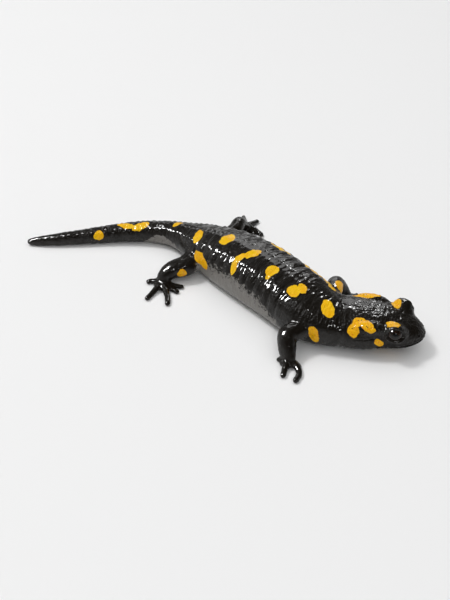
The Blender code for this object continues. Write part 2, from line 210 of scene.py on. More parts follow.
half_width = rounded(PROFILE, 1)
top_height = rounded(PROFILE, 2)
side_height = rounded(PROFILE, 3)
under_height = rounded(PROFILE, 4)
upper_square = smooth(SQUARENESS, 1)
lower_square = smooth(SQUARENESS, 2)
heading_of = smooth(BENDS, 1)
print("widest half width:", round(float(half_width(67.8)), 1), "mm")


# %% Trace the spine
def trace_spine(step=0.25):
    """The spine's x and y at every step, found by following its heading from the hips."""
    places = np.arange(int(TOTAL_LENGTH / step) + 1) * step
    angles = np.radians(heading_of(places + step / 2))
    x = -np.concatenate([[0.0], np.cumsum(np.cos(angles) * step)])[:-1]
    y = -np.concatenate([[0.0], np.cumsum(np.sin(angles) * step)])[:-1]
    return places, x - np.interp(HIPS, places, x), y - np.interp(HIPS, places, y)


PLACES, SPINE_X, SPINE_Y = trace_spine()


def spine_at(d):
    """Centre of the body seen from above, its forward direction and its left direction."""
    heading = math.radians(float(heading_of(d)))
    centre = Vector((np.interp(d, PLACES, SPINE_X), np.interp(d, PLACES, SPINE_Y), 0.0))
    forward = Vector((math.cos(heading), math.sin(heading), 0.0))
    return centre, forward, Vector((-forward.y, forward.x, 0.0))


def axes_at(d):
    """Centre, and the axes forward, left and up as the columns of a matrix."""
    centre, forward, left = spine_at(d)
    return centre, Matrix((forward, left, UP)).transposed()


print("snout at", [round(v, 1) for v in spine_at(0.0)[0]])

# %% [markdown]
# ## Rough shapes that will melt into one skin
# The living surface is made like clay: first the trunk as a tube through rounded sections, then bent
# tubes for the limbs and fingers and egg shapes for the lids and glands, all pushed into each other.
# They may overlap freely, because a voxel remesh will turn them into one closed surface afterwards.

# %% Tubes and egg shapes
def loft(rings, start_tip, end_tip):
    """Points and faces of a tube through rings of points, shut by a tip point at each end."""
    rows, count, _ = np.shape(rings)
    points = np.vstack([np.reshape(rings, (-1, 3)), start_tip, end_tip])
    end = (rows - 1) * count
    faces = []
    for k in range(count):
        j = (k + 1) % count
        for low in range(0, end, count):
            faces.append((low + k, low + j, low + count + j, low + count + k))
        faces.append((j, k, rows * count))
        faces.append((end + k, end + j, rows * count + 1))
    return points, faces


def egg(centre, half_sizes, axes=Matrix.Identity(3), segments=40, rings=24):
    """An ellipsoid on its own axes."""
    polar = np.pi * np.arange(1, rings) / rings
    around = 2 * np.pi * np.arange(segments) / segments
    unit = np.stack([
        np.outer(np.sin(polar), np.cos(around)),
        np.outer(np.sin(polar), np.sin(around)),
        np.outer(np.cos(polar), np.ones(segments)),
    ], axis=2)

    def placed(local):
        return (np.array(local) * half_sizes) @ np.array(axes).T + np.array(centre)

    return loft(placed(unit), placed((0, 0, 1)), placed((0, 0, -1)))


def signed_power(value, exponent):
    """A power that keeps the sign."""
    return np.sign(value) * np.abs(value) ** exponent


def section(d, count=96):
    """One ring of the body: wide and square below, rounder above, flat where it lies on the floor."""
    angles = 2 * np.pi * np.arange(count) / count
    c = np.cos(angles)
    s = np.sin(angles)
    centre, forward, left = spine_at(d)
    exponent = 2 / np.where(s >= 0, upper_square(d), lower_square(d))
    side = side_height(d)
    reach = np.where(s >= 0, top_height(d) - side, side - under_height(d))
    across = half_width(d) * signed_power(c, exponent)
    ring = np.array(centre) + np.outer(across, np.array(left))
    ring[:, 2] = np.maximum(side + reach * signed_power(s, exponent), 0.0)
    return ring


TIP_ZONE = 6


def body_tube():
    """The whole body from the snout to the tip of the tail, with closer sections near both."""
    near_snout = [EYES * (k / 14) ** 1.8 for k in range(1, 14)]
    near_tip = [TOTAL_LENGTH - TIP_ZONE * (1 - k / 12) ** 2 for k in range(12)]
    places = near_snout + list(np.arange(EYES, TOTAL_LENGTH - TIP_ZONE, 0.8)) + near_tip
    tips = [section(d).mean(axis=0) for d in (0.001, TOTAL_LENGTH - 0.001)]
    return loft([section(d) for d in places], *tips)


shapes = [body_tube()]
print("body tube:", len(shapes[0][0]), "points")

# %% [markdown]
# ## Legs, hands and feet
# Each leg of a salamander is a short thick tube, bent once at the elbow or the knee and lying low.
# It ends in a flat palm with four soft fingers, or a sole with five toes, without claws. The knots of
# the tubes give a place and two radii each, and a smooth curve runs through them.

# %% Where the legs go
FORELEG_RIGHT = (
    (67, -2, 7, 4.6, 4),
    (65.6, -11.5, 8, 4, 3.6),
    (64.2, -16.9, 8.2, 3.8, 3.6),
    (66.2, -19.6, 5.4, 3.6, 3.2),
    (68.8, -21.7, 2.2, 3.1, 1.8),
)
FORELEG_LEFT = (
    (66, 2, 7, 4.6, 4),
    (61.4, 12.4, 9.6, 3.5, 3.1),
    (59.4, 16.7, 9, 3, 2.8),
    (60.4, 19.1, 5.7, 2.7, 2.4),
    (62.4, 20.4, 2.2, 2.4, 1.7),
)
HINDLEG_RIGHT = (
    (6, -1.4, 6, 5, 4.4),
    (7.3, -12.2, 5.5, 4.7, 4.1),
    (4.8, -18.6, 5, 3.7, 3.5),
    (4, -22.3, 3.2, 3.2, 2.6),
    (4.9, -23.8, 1.8, 2.6, 1.7),
)
HINDLEG_LEFT = (
    (4, 1, 6.2, 5, 4.4),
    (6.8, 10, 5.9, 3.9, 3.5),
    (6.7, 15.4, 6.8, 3.3, 3.1),
    (5, 19.8, 7.4, 2.9, 2.7),
    (4.2, 23.2, 4.4, 2.4, 2.2),
    (3.6, 25.6, 1.9, 2.4, 1.7),
)

# Palms and soles: x, y, heading of the long axis, and half sizes
PALM_RIGHT = (68.8, -22.3, -30.0, (3.2, 3.0, 1.5))
PALM_LEFT = (63.2, 20.6, 10.0, (3.0, 2.6, 1.5))
SOLE_RIGHT = (4.7, -24.4, -20.0, (4.0, 3.3, 1.6))
SOLE_LEFT = (3.6, 26.0, 60.0, (3.6, 3.0, 1.5))
PALM_HEIGHT = 1.2

# Fingers and toes: heading, length, radius, and how far the tip curls round
FINGERS_RIGHT = (
    (-165, 3.8, 1, 0),
    (-61, 7.6, 1.15, 0),
    (13, 10.6, 1.2, -55),
    (45, 6.3, 1.05, -52),
)
FINGERS_LEFT = (
    (72, 4.6, 1, 0),
    (40, 6, 1.1, 0),
    (8, 7, 1.1, 0),
    (-26, 5.8, 1.05, 0),
)
TOES_RIGHT = (
    (-172, 6.5, 1.15, 24),
    (-79, 11.1, 1.1, 0),
    (-23, 13.3, 1.15, -12),
    (9, 8.6, 1.05, 0),
    (34, 9.2, 1.05, 0),
)
TOES_LEFT = (
    (142, 8.8, 1, 0),
    (88, 7.4, 1.1, 0),
    (19, 9.1, 1.1, -17),
    (-14, 6.6, 1.05, 0),
    (-46, 5.4, 1, 0),
)

# A digit: share of its length, height in radii, and size in radii, with a knuckle and a round pad
DIGIT_SHAPE = (
    (0, 1.5, 1.3),
    (0.3, 1.4, 1.12),
    (0.5, 1.1, 1.06),
    (0.72, 0.85, 0.98),
    (0.88, 0.8, 0.96),
)
LEGS = (
    (FORELEG_RIGHT, PALM_RIGHT, FINGERS_RIGHT),
    (FORELEG_LEFT, PALM_LEFT, FINGERS_LEFT),
    (HINDLEG_RIGHT, SOLE_RIGHT, TOES_RIGHT),
    (HINDLEG_LEFT, SOLE_LEFT, TOES_LEFT),
)
print("digits:", sum(len(digits) for _, _, digits in LEGS))


# %% Bent tubes through knots
ROUND_END = (0.35, 0.7, 1.05, 1.35)  # radians from the last ring towards the tip
LEG_BREADTH = Vector((1, 0, 0.25)).normalized()


def limb_tube(knots, broad_way, sides=28, per_span=8):
    """A tapering tube through knots of x, y, z, half breadth and half thickness, with a round end."""
    length = [0.0]
    for before, after in zip(knots, knots[1:]):
        length.append(length[-1] + (Vector(after[:3]) - Vector(before[:3])).length)
    table = [(at, *row) for at, row in zip(length, knots)]
    at = np.linspace(0.0, length[-1], per_span * (len(knots) - 1) + 1)
    rows = np.stack([smooth(table, column)(at) for column in range(1, 6)], axis=1)
    centres = rows[:, :3]
    ahead = np.gradient(centres, axis=0)
    ahead /= np.linalg.norm(ahead, axis=1)[:, None]
    angles = 2 * np.pi * (np.arange(sides) + 0.5) / sides
    broad_way = np.array(broad_way)

    def ring(centre, along, breadth, thickness):
        broad = broad_way - along * (along @ broad_way)
        broad /= np.linalg.norm(broad)
        thick = np.cross(along, broad)
        return (centre + np.outer(np.cos(angles) * breadth, broad)
                + np.outer(np.sin(angles) * thickness, thick))

    rings = [ring(c, a, row[3], row[4]) for c, a, row in zip(centres, ahead, rows)]
    end, along, breadth, thickness = centres[-1], ahead[-1], rows[-1][3], rows[-1][4]
    for turn in ROUND_END:
        shift = end + along * (thickness * math.sin(turn))
        rings.append(ring(shift, along, breadth * math.cos(turn), thickness * math.cos(turn)))
    return loft(rings, rings[0].mean(axis=0), end + along * thickness)


def digit(start, heading, length, radius, curl):
    """One finger or toe that comes down to the floor."""
    knots = []
    for share, height, size in DIGIT_SHAPE:
        turn = math.radians(heading + curl * share * share)
        x = start[0] + math.cos(turn) * length * share
        y = start[1] + math.sin(turn) * length * share
        knots.append((x, y, height * radius, radius * size, radius * size * 0.9))
    across = math.radians(heading + 90)
    return limb_tube(knots, (math.cos(across), math.sin(across), 0.0), sides=20, per_span=6)


for knots, (x, y, heading, half_sizes), digits in LEGS:
    shapes.append(limb_tube(knots, LEG_BREADTH))
    shapes.append(egg((x, y, PALM_HEIGHT), half_sizes, turned(heading, "Z")))
    shapes += [digit((x, y), *row) for row in digits]
print("shapes so far:", len(shapes))

# %% [markdown]
# ## The domes of the eyes and the poison glands
# A salamander's eyes bulge high on the sides of the head under thick lids, and behind each eye lies
# a long swollen gland full of poison, the parotoid. Both are egg shapes sunk into the head.

# %% Lids, brows and parotoid glands
EYE_RADIUS = 2.9
EYE_OUT = 7.4
EYE_HEIGHT = 11.8
EYE_FORWARD_TURN = 12.0
EYE_UPWARD_TURN = 24.0
LID_RADIUS = 3.6
LID_STRETCH = 1.12
BROW_PLACE = (-0.9, -2.2, -1.5)
BROW_SIZE = (5.7, 3.9, 3.9)
GLAND_PLACE = 20.0
GLAND_OUT = 7.4
GLAND_HEIGHT = 12.0
GLAND_TURN = 7.0
GLAND_SIZE = (6.8, 2.9, 2.7)


def eye_frame(side):
    """Centre of an eyeball and the axes of the head. Side is 1 for the left, -1 for the right."""
    centre, axes = axes_at(EYES)
    return centre + axes @ Vector((0, side * EYE_OUT, EYE_HEIGHT)), axes


def eye_look(side):
    """Axes of an eye: the second column times the side looks out through the lids."""
    _, axes = eye_frame(side)
    return axes @ turned(-side * EYE_FORWARD_TURN, "Z") @ turned(side * EYE_UPWARD_TURN, "X")


def gland_frame(side):
    """Centre and axes of a parotoid gland."""
    centre, axes = axes_at(GLAND_PLACE)
    place = centre + axes @ Vector((0, side * GLAND_OUT, GLAND_HEIGHT))
    return place, axes @ turned(-side * GLAND_TURN, "Z")


for side in (1, -1):
    eye, axes = eye_frame(side)
    ahead, out, up = BROW_PLACE
    shapes.append(egg(eye, (LID_RADIUS * LID_STRETCH, LID_RADIUS, LID_RADIUS), axes))
    shapes.append(egg(eye + axes @ Vector((ahead, side * out, up)), BROW_SIZE, axes))
    gland, turn = gland_frame(side)
    shapes.append(egg(gland, GLAND_SIZE, turn))
print("shapes in all:", len(shapes))

# %% [markdown]
# ## Melting the clay
# A boolean union would keep every hard seam. The voxel remesh reads the shapes as one volume and wraps
# it in an even net of squares. The valleys where shapes meet are then relaxed: every point moves
# towards the middle of its neighbours, and a backward step keeps thin fingers from shrinking.

# %% One net over all shapes
VOXEL = 0.46


def mesh_from(name, points, faces):
    """A mesh object in the scene."""
    mesh = bpy.data.meshes.new(name)
    mesh.from_pydata([tuple(p) for p in points], [], faces)
    return new_object(name, mesh)


def melted(name, parts):
    """One closed net around all the parts."""
    points = np.vstack([p for p, _ in parts])
    faces = []
    start = 0
    for part_points, part_faces in parts:
        faces += [tuple(start + i for i in face) for face in part_faces]
        start += len(part_points)
    thing = mesh_from(name, points, faces)
    step = thing.modifiers.new("melt", "REMESH")
    step.mode = "VOXEL"
    step.voxel_size = VOXEL
    bpy.context.view_layer.update()
    shape = thing.evaluated_get(bpy.context.evaluated_depsgraph_get())
    net = bpy.data.meshes.new_from_object(shape)
    thing.modifiers.clear()
    thing.data = net
    return thing


skin = melted("skin", shapes)
print("skin net:", len(skin.data.vertices), "points")


# %% Relax the net
FORWARD = 0.5
BACKWARD = -0.52


def rows_of(items, field, width, kind=np.float32):
    """One field of all points, edges or faces of a mesh, as the rows of an array."""
    flat = np.zeros(len(items) * width, kind)
    items.foreach_get(field, flat)
    return flat.reshape(-1, width)


def skin_points():
    """The points of the skin as an array."""
    return rows_of(skin.data.vertices, "co", 3).astype(float)


def put_points(points):
    """Write an array of points back to the skin."""
    skin.data.vertices.foreach_set("co", points.astype(np.float32).ravel())
    skin.data.update()


def relax(points, rounds, weight=1.0):
    """Move the skin's points towards the middle of their neighbours, and a little back again."""
    a, b = rows_of(skin.data.edges, "vertices", 2, np.int32).T
    count = len(points)
    neighbours = np.bincount(a, minlength=count) + np.bincount(b, minlength=count)
    share = np.broadcast_to(weight, (count,))[:, None]
    for _ in range(rounds):
        for amount in (FORWARD, BACKWARD):
            total = np.stack([
                np.bincount(a, points[b, k], count) + np.bincount(b, points[a, k], count)
                for k in range(3)
            ], axis=1)
            points = points + (total / neighbours[:, None] - points) * amount * share
    return points


relaxed = relax(skin_points(), 14)
relaxed[:, 2] = np.maximum(relaxed[:, 2], 0.0)
put_points(relaxed)
print("lowest point:", round(float(relaxed[:, 2].min()), 3), "mm")

# %% [markdown]
# ## Body coordinates
# Lips, folds and rows of glands follow the body and not the room. So each point of the skin gets an
# address from the nearest point of the spine: how far along it lies, how far out to the left, and at
# which angle round the body.

# %% The address of every point
BLOCK = 4000


def body_address(points):
    """Distance along the spine, offset to the left, and angle round the body, as arrays."""
    along = np.zeros(len(points))
    for start in range(0, len(points), BLOCK):
        block = points[start:start + BLOCK]
        gap = (block[:, :1] - SPINE_X) ** 2 + (block[:, 1:2] - SPINE_Y) ** 2
        along[start:start + BLOCK] = PLACES[np.argmin(gap, axis=1)]
    heading = np.radians(heading_of(along))
    dx = points[:, 0] - np.interp(along, PLACES, SPINE_X)
    dy = points[:, 1] - np.interp(along, PLACES, SPINE_Y)
    along = along - (dx * np.cos(heading) + dy * np.sin(heading))
    offset = -dx * np.sin(heading) + dy * np.cos(heading)
    return along, offset, np.arctan2(points[:, 2] - side_height(along), offset)


print("the snout's address:", [round(float(v[0]), 1) for v in body_address(section(0.1)[:1])])


# %% A finer net over the head
FINE_LENGTH = 27.0
FINE_HALF_WIDTH = 13.5
FINE_FROM_HEIGHT = 4.0


def refine(chosen):
    """Split each chosen face of the skin into four."""
    builder = bmesh.new()
    builder.from_mesh(skin.data)
    builder.faces.ensure_lookup_table()
    edges = {edge for i in np.flatnonzero(chosen) for edge in builder.faces[i].edges}
    bmesh.ops.subdivide_edges(builder, edges=list(edges), cuts=1, use_grid_fill=True)
    bmesh.ops.triangulate(builder, faces=[f for f in builder.faces if len(f.verts) > 4])
    builder.to_mesh(skin.data)
    builder.free()


centres = rows_of(skin.data.polygons, "center", 3).astype(float)
along, offset, _ = body_address(centres)
is_head = (along < FINE_LENGTH) & (np.abs(offset) < FINE_HALF_WIDTH)
refine(is_head & (centres[:, 2] > FINE_FROM_HEIGHT))
points = relax(skin_points(), 3)
print("refined skin:", len(skin.data.vertices), "points,", len(skin.data.polygons), "faces")

# %% [markdown]
# ## Carving the living details
# On the melted shape the details are pressed in or drawn out a few tenths of a millimetre: the line of
# the mouth, nostrils, the openings of the lids, the fold of the throat, the grooves between the ribs,
# rings on the tail, rows of glands along the back, and the fine wrinkles that make wet skin glitter.
# They could be sculpted by hand, but formulas of a point's address are easier to change and repeat.

# %% Soft steps, ridges and noise
GIRTH = 10.0


def soft_step(value, low, high):
    """0 below low, 1 above high, and smooth between."""
    t = np.clip((value - low) / (high - low), 0.0, 1.0)
    return t * t * (3 - 2 * t)


def window(value, start, full, fading, end):
    """1 from full to fading, 0 outside start and end, and smooth between."""
    return soft_step(value, start, full) * soft_step(-value, -end, -fading)


def ridge(distance, width):
    """1 at distance nought, falling to nothing a few widths away."""
    return np.exp(-(distance / width) ** 2)


def off_line(place, step):
    """Millimetres from the nearest whole place, where places lie a step apart."""
    return (place - np.round(place)) * step


def wavy(scale, seed):
    """Smooth noise from -1 to 1 at every point, with features of about scale millimetres."""
    shift = Vector((seed * 17.3, seed * 5.1, seed * 9.7))
    return np.array([noise.noise(Vector(p) / scale + shift) for p in points])


def folds(length, girth, seed):
    """Noise drawn out round the body, for wrinkles that run from the back to the belly."""
    shift = seed * 31.7
    lattice = zip(along / length + shift, around / girth)
    return np.array([noise.noise(Vector((a, b, shift))) for a, b in lattice])


along, offset, angle = body_address(points)
upper = np.sin(angle)
flank = np.abs(np.cos(angle))
around = np.arctan2(np.cos(angle), upper) * GIRTH
breadth = half_width(along)
on_trunk = 1 - soft_step(np.abs(offset) - breadth, 0.3, 1.5)
print("points on the limbs:", int((on_trunk < 0.5).sum()))


# %% Grooves and glands of the body
FIRST_GROOVE = 49.0
GROOVE_STEP = 4.3
GROOVE_COUNT = 12
GROOVE_DEPTH = 0.3
RING_STEP = 3.1
RING_DEPTH = 0.13
ROW_STEP = 2.15

# Rows of small glands: place as a share of the half width, radius and height
GLAND_ROWS = (
    (0.12, 0.62, 0.2),
    (0.62, 0.72, 0.26),
)


def costal_grooves():
    """The folds between the ribs: crooked, deepest on the upper flanks, and lost towards the belly."""
    lean = np.degrees(np.arcsin(np.clip(upper, -1.0, 1.0)))
    place = (along + 0.9 * wavy(7, 1) - 0.02 * lean - FIRST_GROOVE) / GROOVE_STEP
    depth = GROOVE_DEPTH * ridge(off_line(place, GROOVE_STEP), 0.45) + 0.14 * np.cos(2 * np.pi * place)
    depth *= 1 + 0.7 * wavy(4, 15)
    fade = np.clip(flank * 1.3 - 0.1, 0.0, 1.0) * soft_step(upper, -0.3, 0.45)
    return -depth * window(place, -1, 0, GROOVE_COUNT - 1, GROOVE_COUNT) * fade * on_trunk


def tail_rings():
    """Shallow rings round the tail, one to each bone."""
    place = (along + 0.4 * wavy(5, 2) - VENT) / RING_STEP
    rings = ridge(off_line(place, RING_STEP), 0.5) * window(along, VENT - 2, VENT + 6, 150, 172)
    return -RING_DEPTH * rings * (0.35 + 0.65 * flank)


def gland_rows():
    """Rows of small round glands along the middle of the back and along each upper flank."""
    ahead = off_line((along - FIRST_GROOVE) / ROW_STEP + 0.5, ROW_STEP)
    aside = np.abs(offset) + 0.5 * wavy(3.5, 3)
    lift = sum(height * np.exp(-((aside - breadth * share) ** 2 + ahead ** 2) / size ** 2)
               for share, size, height in GLAND_ROWS)
    return lift * window(along, 30, 36, 130, 165) * (upper > 0.1) * on_trunk


def wrinkles():
    """Fine uneven wrinkles that run round the body and across the limbs, fainter on the head."""
    height = 0.17 * folds(0.9, 3.2, 4) + 0.1 * folds(2.2, 5, 5)
    body = 0.5 * soft_step(along, 6, 12) + 0.5 * soft_step(along, 24, 32)
    return height * body * (0.3 + 0.7 * soft_step(upper, -0.2, 0.5))


def leather():
    """Low cobbles all over the skin."""
    return 0.05 * wavy(0.9, 6) + 0.07 * wavy(2, 7)


moves = costal_grooves() + tail_rings() + gland_rows() + wrinkles() + leather()
print("deepest groove:", round(float(-moves.min()), 2), "mm")


# %% Details of the head
NOSTRIL_PLACE = 1.7
NOSTRIL_ANGLES = (42, 138)
PORES_PER_GLAND = 16


def mouth_line():
    """The closed mouth: a thin dark line between two fuller lips."""
    droop = 0.5 * soft_step(along, 13, MOUTH_CORNER) + 0.08 * wavy(3, 8)
    height = points[:, 2] - side_height(along) + droop
    lips = 0.26 * ridge(height - 0.6, 0.4) + 0.26 * ridge(height + 0.5, 0.3)
    return (lips - 0.6 * ridge(height, 0.2)) * (1 - soft_step(along, MOUTH_CORNER - 2, MOUTH_CORNER))


def throat_fold():
    """The fold across the throat, which runs up behind the jaw."""
    place = along - GULAR_FOLD + 0.6 * wavy(6, 9)
    return -0.6 * ridge(place, 0.65) * (1 - soft_step(upper, -0.35, 0.25)) * on_trunk


def pit(place, depth, width, lift, rim, rim_width):
    """A round pit with a raised rim."""
    away = np.linalg.norm(points - np.array(place), axis=1)
    return lift * ridge(away - rim, rim_width) - depth * ridge(away, width)


def nostrils():
    """Two small pits near the tip of the snout."""
    ring = section(NOSTRIL_PLACE, 360)
    return sum(pit(ring[degrees], 0.6, 0.36, 0.12, 0.62, 0.22) for degrees in NOSTRIL_ANGLES)


def gland_pores():
    """Pits over the parotoid glands, where the poison comes out."""
    long, wide, high = GLAND_SIZE
    push = 0
    draw = random.Random(11)
    for side in (1, -1):
        centre, turn = gland_frame(side)
        for _ in range(PORES_PER_GLAND):
            share = draw.uniform(-0.85, 0.85)
            lean = math.radians(draw.uniform(-20, 75))
            size = math.sqrt(1 - share * share)
            local = (long * share, side * wide * size * math.cos(lean), high * size * math.sin(lean))
            push += pit(centre + turn @ Vector(local), 0.22, 0.26, 0.06, 0.5, 0.2)
    return push


def head_creases():
    """A crease behind the eye under the gland, and fine wrinkles over the cheeks and the crown."""
    crown = 0.1 * wavy(0.8, 12) + 0.09 * wavy(1.5, 13)
    line = points[:, 2] - (10.3 - 0.09 * (along - 12.0)) + 0.5 * wavy(3, 14)
    crease = 0.26 * ridge(line, 0.3) * window(along, 12.5, 14.5, 23, 27) * (flank > 0.5)
    return (crown - crease) * (1 - soft_step(along, 30, 36))


moves += mouth_line() + throat_fold() + nostrils() + gland_pores() + head_creases()
print("moved", int((np.abs(moves) > 0.02).sum()), "points by more than 0.02 mm")


# %% Press the details in, then open the lids
OPENING = (0.88, 0.64)
LID_RIM = 0.42
BEHIND_BALL = 0.45
FLAT_BELOW = 0.03


def open_lids(points):
    """Shape the lids round each eyeball: a soft rim, and inside it the skin drops behind the ball."""
    for side in (1, -1):
        centre = np.array(eye_frame(side)[0])
        away = points - centre
        reach = np.linalg.norm(away, axis=1)
        away /= reach[:, None]
        local = away @ np.array(eye_look(side))
        out = local[:, 1] * side
        shape = np.hypot(local[:, 0] / OPENING[0], local[:, 2] / OPENING[1])
        shape = np.where(out > 0, shape, 9.0)
        near = reach < EYE_RADIUS + 3.0
        lid = np.where(near & (out > -0.5), np.maximum(reach, EYE_RADIUS + LID_RIM), reach)
        below = near * soft_step(-local[:, 2], -0.1, 0.35)
        lid += below * (0.16 * ridge(shape - 1.16, 0.1) - 0.24 * ridge(shape - 1.42, 0.1))
        inside = 1 - soft_step(shape, 0.95, 1.1)
        target = np.where(near, lid * (1 - inside) + (EYE_RADIUS - BEHIND_BALL) * inside, reach)
        points = centre + away * target[:, None]
        points = relax(points, 2, near * ridge(shape - 1.08, 0.16))
    return points


put_points(points)
facing = rows_of(skin.data.vertex_normals, "vector", 3).astype(float)
points = open_lids(points + facing * moves[:, None])
points[points[:, 2] < FLAT_BELOW, 2] = 0.0
put_points(points)
print("skin box:", points.min(axis=0).round(1), points.max(axis=0).round(1))

# %% Keep the address for the material
on_body = on_trunk * (0.8 + 0.2 * soft_step(along, 26, 36))
rows = np.stack([along, around, on_body], axis=1).astype(np.float32)
skin.data.attributes.new("address", "FLOAT_VECTOR", "POINT").data.foreach_set("vector", rows.ravel())
print("address kept at", len(rows), "points")

# %% [markdown]
# ## Into the room's frame
# The tables are measured from the hips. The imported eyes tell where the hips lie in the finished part,
# and that shift and the scale from millimetres bring the skin to its place.

# %% Shift and scale
low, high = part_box("eye_left")
HIPS_IN_FRAME = (low + high) / 2 - eye_frame(1)[0] * MM
HIPS_IN_FRAME.z = 0.0
skin.data.transform(Matrix.Translation(HIPS_IN_FRAME) @ Matrix.Scale(MM, 4))
skin.data.shade_smooth()


def in_frame(place):
    """A place in millimetres from the hips, as metres in the frame."""
    return HIPS_IN_FRAME + place * MM


print("hips lie at", [round(v / MM, 2) for v in HIPS_IN_FRAME], "mm")

# %% [markdown]
# ## The eyeballs
# The eye of a fire salamander is nearly black: a dark brown iris with coppery specks round a round
# pupil, under a wet cornea. A plain sphere would do from afar; a slight bulge for the cornea makes it
# mirror the room as a real eye does. Each ball looks out through its own lids.

# %% Two eyeballs
CORNEA_ANGLE = 42.0
CORNEA_BULGE = 0.035


def make_eyeball(name, side):
    """One eyeball whose own Z axis looks out through the lids."""
    points, faces = egg((0, 0, 0), (EYE_RADIUS,) * 3, segments=64, rings=48)
    from_axis = np.degrees(np.arccos(points[:, 2] / EYE_RADIUS))
    bulge = 1 + CORNEA_BULGE * np.clip(1 - from_axis / CORNEA_ANGLE, 0.0, 1.0) ** 0.7
    ball = mesh_from(name, points * bulge[:, None], faces)
    ball.data.flip_normals()
    ball.data.shade_smooth()
    ball.data.transform(Matrix.Scale(MM, 4))
    gaze = eye_look(side) @ Vector((0, side, 0))
    turn = gaze.to_track_quat("Z", "Y").to_matrix().to_4x4()
    ball.matrix_world = Matrix.Translation(in_frame(eye_frame(side)[0])) @ turn
    return ball


eyeball_left = make_eyeball("eyeball_left", 1)
eyeball_right = make_eyeball("eyeball_right", -1)
print("eyeballs:", 2 * EYE_RADIUS, "mm across")

# %% [markdown]
# ## Shader building blocks
# A material is a small machine of nodes. It could be wired by hand in the editor, but what is used
# again and again, such as one blotch, is better built once as a group with named sockets.

# %% Helpers for nodes
def set_inputs(tree, node, inputs):
    """Give links or plain values to a node's inputs, by name or by number."""
    for key, value in inputs.items():
        if isinstance(value, bpy.types.NodeSocket):
            tree.links.new(value, node.inputs[key])
        else:
            node.inputs[key].default_value = value


def add_node(tree, kind, inputs, **settings):
    """A new shader node with its settings and its inputs."""
    node = tree.nodes.new("ShaderNode" + kind)
    for name, value in settings.items():
        setattr(node, name, value)
    set_inputs(tree, node, inputs)
    return node


def math_node(tree, operation, a, b, kind="Math"):
    """One sum of two links or numbers, or of two vectors."""
    return add_node(tree, kind, {0: a, 1: b}, operation=operation).outputs[0]


def map_range(tree, value, low, high, to_low=0.0, to_high=1.0):
    """A value stretched smoothly from one range to another."""
    inputs = {"Value": value, "From Min": low, "From Max": high, "To Min": to_low, "To Max": to_high}
    return add_node(tree, "MapRange", inputs, interpolation_type="SMOOTHSTEP").outputs["Result"]


def mix_colour(tree, factor, a, b):
    """A blend of two colours, each a link or a plain colour."""
    return add_node(tree, "Mix", {0: factor, 6: a, 7: b}, data_type="RGBA").outputs[2]


def noise_at(tree, position, scale, detail=3.0, roughness=0.5, output="Fac"):
    """Cloudy noise at a position, with features of about 1/scale metres."""
    inputs = {"Vector": position, "Scale": scale, "Detail": detail, "Roughness": roughness}
    return add_node(tree, "TexNoise", inputs).outputs[output]


def union(tree, masks):
    """1 wherever any of the masks is 1."""
    total = masks[0]
    for mask in masks[1:]:
        total = math_node(tree, "MAXIMUM", total, mask)
    return total


print("helpers ready")


# %% Helpers for groups
VECTOR = "NodeSocketVector"
NUMBER = "NodeSocketFloat"


def new_group(name, vectors, numbers, result, kind=NUMBER):
    """A group with named sockets: its tree, what it is given, and the socket of its result."""
    group = bpy.data.node_groups.new(name, "ShaderNodeTree")
    for label in vectors + numbers:
        what = VECTOR if label in vectors else NUMBER
        group.interface.new_socket(label, in_out="INPUT", socket_type=what)
    group.interface.new_socket(result, in_out="OUTPUT", socket_type=kind)
    given = group.nodes.new("NodeGroupInput").outputs
    return group, given, group.nodes.new("NodeGroupOutput").inputs[result]


def use_group(tree, group, **values):
    """The result of a group placed in a tree, with links or values for its sockets."""
    return add_node(tree, "Group", values, node_tree=group).outputs[0]


print("sockets:", VECTOR, NUMBER)


# %% Group: one blotch
def build_blotch():
    """A mask that is 1 inside an egg-shaped region of the body and 0 outside."""
    vectors = ("Vector", "Location", "Rotation", "Scale")
    group, given, result = new_group("blotch", vectors, ("Edge",), "Mask")
    inputs = {label: given[label] for label in vectors}
    local = add_node(group, "Mapping", inputs, vector_type="TEXTURE").outputs[0]
    length = add_node(group, "VectorMath", {0: local}, operation="LENGTH").outputs["Value"]
    over = math_node(group, "DIVIDE", math_node(group, "SUBTRACT", 1.0, length), given["Edge"])
    group.links.new(map_range(group, math_node(group, "ADD", over, 0.5), 0.0, 1.0), result)
    return group


BLOTCH = build_blotch()
print("group", BLOTCH.name)


# %% Group: uneven edges
def build_uneven():
    """Positions pushed about by noise, so that whatever is drawn at them gets an uneven edge."""
    numbers = ("Scale", "Amount")
    group, given, result = new_group("uneven", ("Position",), numbers, "Position", VECTOR)
    cloud = noise_at(group, given["Position"], given["Scale"], 2.0, output="Color")
    centred = math_node(group, "SUBTRACT", cloud, (0.5, 0.5, 0.5), "VectorMath")
    push = math_node(group, "MULTIPLY", centred, given["Amount"], "VectorMath")
    moved = math_node(group, "ADD", given["Position"], push, "VectorMath")
    group.links.new(moved, result)
    return group


UNEVEN = build_uneven()
print("group", UNEVEN.name)


# %% Group: fine wrinkles
def build_hatching():
    """Fine wrinkles that run round the body. The address gives distance along and way round, in mm."""
    group, given, result = new_group("hatching", ("Address",), ("Length", "Girth"), "Height")
    address = add_node(group, "SeparateXYZ", {0: given["Address"]}).outputs
    lattice = add_node(group, "CombineXYZ", {
        "X": math_node(group, "DIVIDE", address["X"], given["Length"]),
        "Y": math_node(group, "DIVIDE", address["Y"], given["Girth"]),
    }).outputs[0]
    waves = noise_at(group, lattice, 1.0, 1.0)
    group.links.new(math_node(group, "MULTIPLY", waves, address["Z"]), result)
    return group


HATCHING = build_hatching()
print("group", HATCHING.name)


